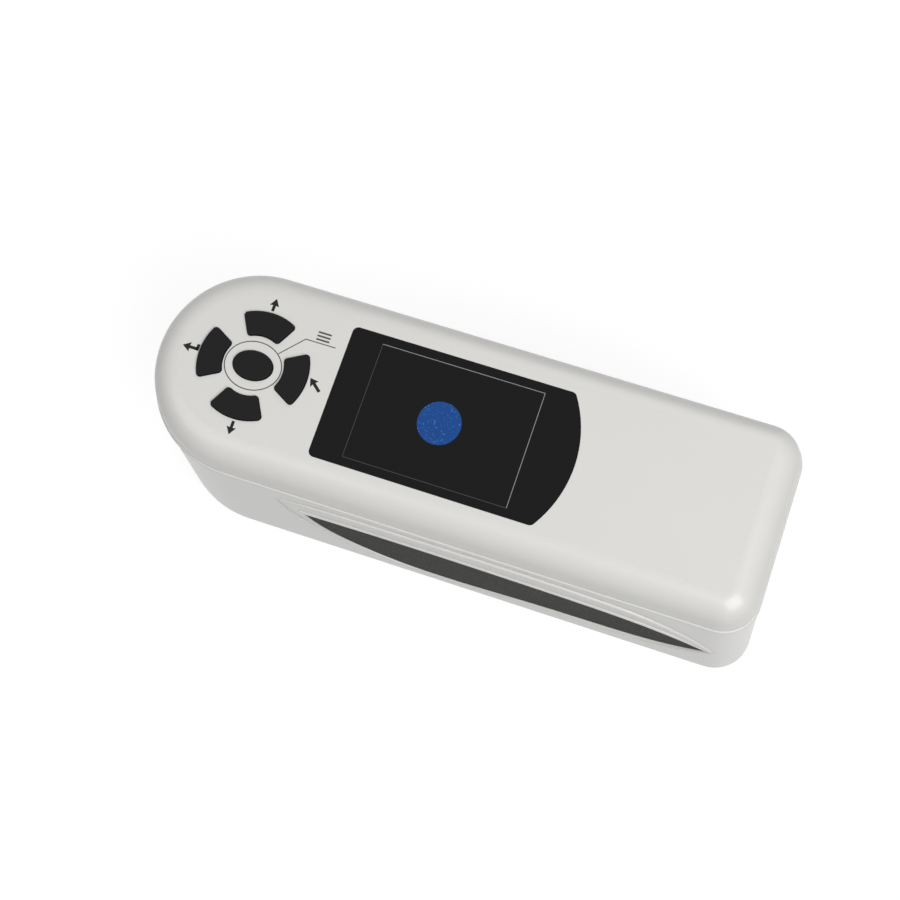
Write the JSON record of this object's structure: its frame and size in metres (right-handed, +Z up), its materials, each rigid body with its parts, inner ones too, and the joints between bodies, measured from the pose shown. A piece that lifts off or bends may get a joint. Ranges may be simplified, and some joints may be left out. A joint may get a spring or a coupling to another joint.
{
  "type": "handheld color meter",
  "caption": "Tall handheld color meter with a round measuring nose, a screen, a ring of keys, rubber side grips and a rear battery lid.",
  "frame": {"origin": "on the table under the middle of the body", "axes": "+X to the rear end with the lid, +Y to the far side, +Z up through the screen"},
  "size_m": [0.2246, 0.0728, 0.087],
  "materials": {
    "shell_white": "moulded, light gloss",
    "grip_rubber": "fine grained rubber",
    "window_black": "black printed clear plastic",
    "gasket_foam": "matte foam tape",
    "screen_panel": "dark panel",
    "frame_black": "moulded",
    "key_black": "soft touch",
    "board_green": "solder mask",
    "switch_black": "moulded",
    "screw_steel": "zinc plated",
    "foot_rubber": "matte",
    "ring_metal": "black anodised",
    "sphere_white": "matte white coating",
    "lens_glass": "polished",
    "lamp_clear": "clear epoxy",
    "ribbon_plastic": "flat ribbon",
    "cell_wrap": "plain wrap",
    "contact_nickel": "nickel plated",
    "panel_grey": "fine grain",
    "knob_black": "ribbed"
  },
  "bodies": {
    "case": {"lower_shell": "shell_white", "upper_shell": "shell_white", "near_side_grip": "grip_rubber", "far_side_grip": "grip_rubber", "display_window": "window_black", "window_gasket": "gasket_foam", "screen_module": "screen_panel", "screen_frame": "frame_black", "key_board": "board_green", "key_switches": "switch_black", "key_board_screws": "screw_steel", "main_board": "board_green", "main_board_chips": "switch_black", "main_board_screws": "screw_steel", "case_screws": "screw_steel", "rubber_feet": "foot_rubber", "port_ring": "ring_metal", "lower_sphere": "sphere_white", "upper_sphere": "sphere_white", "lens_tube": "frame_black", "lens": "lens_glass", "lamps": "lamp_clear", "lamp_board": "board_green", "sensor_board": "board_green", "color_sensor": "switch_black", "head_screws": "screw_steel", "key_ribbon": "ribbon_plastic", "battery_cage": "frame_black", "battery_cells": "cell_wrap", "cell_springs": "contact_nickel", "lid_hinge_pin": "screw_steel", "rear_panel": "panel_grey", "io_board": "board_green", "io_board_screws": "screw_steel", "usb_socket": "contact_nickel", "charge_socket": "frame_black", "power_switch": "switch_black"},
    "key_centre_cap": {"key_centre": "key_black"},
    "key_up_cap": {"key_up": "key_black"},
    "key_down_cap": {"key_down": "key_black"},
    "key_left_cap": {"key_left": "key_black"},
    "key_right_cap": {"key_right": "key_black"},
    "lid": {"rear_lid": "shell_white", "lid_contacts": "contact_nickel"},
    "knob": {"power_switch_knob": "knob_black"}
  },
  "joints": [
    {"name": "key_centre_press", "type": "slide", "parent": "case", "child": "key_centre_cap", "axis": [0, 0, -1], "range_m": [0, 0.0006], "stiffness_N_per_m": 900},
    {"name": "key_up_press", "type": "slide", "parent": "case", "child": "key_up_cap", "axis": [0, 0, -1], "range_m": [0, 0.0006], "stiffness_N_per_m": 900},
    {"name": "key_down_press", "type": "slide", "parent": "case", "child": "key_down_cap", "axis": [0, 0, -1], "range_m": [0, 0.0006], "stiffness_N_per_m": 900},
    {"name": "key_left_press", "type": "slide", "parent": "case", "child": "key_left_cap", "axis": [0, 0, -1], "range_m": [0, 0.0006], "stiffness_N_per_m": 900},
    {"name": "key_right_press", "type": "slide", "parent": "case", "child": "key_right_cap", "axis": [0, 0, -1], "range_m": [0, 0.0006], "stiffness_N_per_m": 900},
    {"name": "lid_hinge", "type": "hinge", "parent": "case", "child": "lid", "pos_m": [0.10973, 0, 0.0112], "axis": [0, 1, 0], "range_deg": [0, 90]},
    {"name": "power_slide", "type": "slide", "parent": "case", "child": "knob", "axis": [0, 1, 0], "range_m": [0, 0.004]}
  ]
}
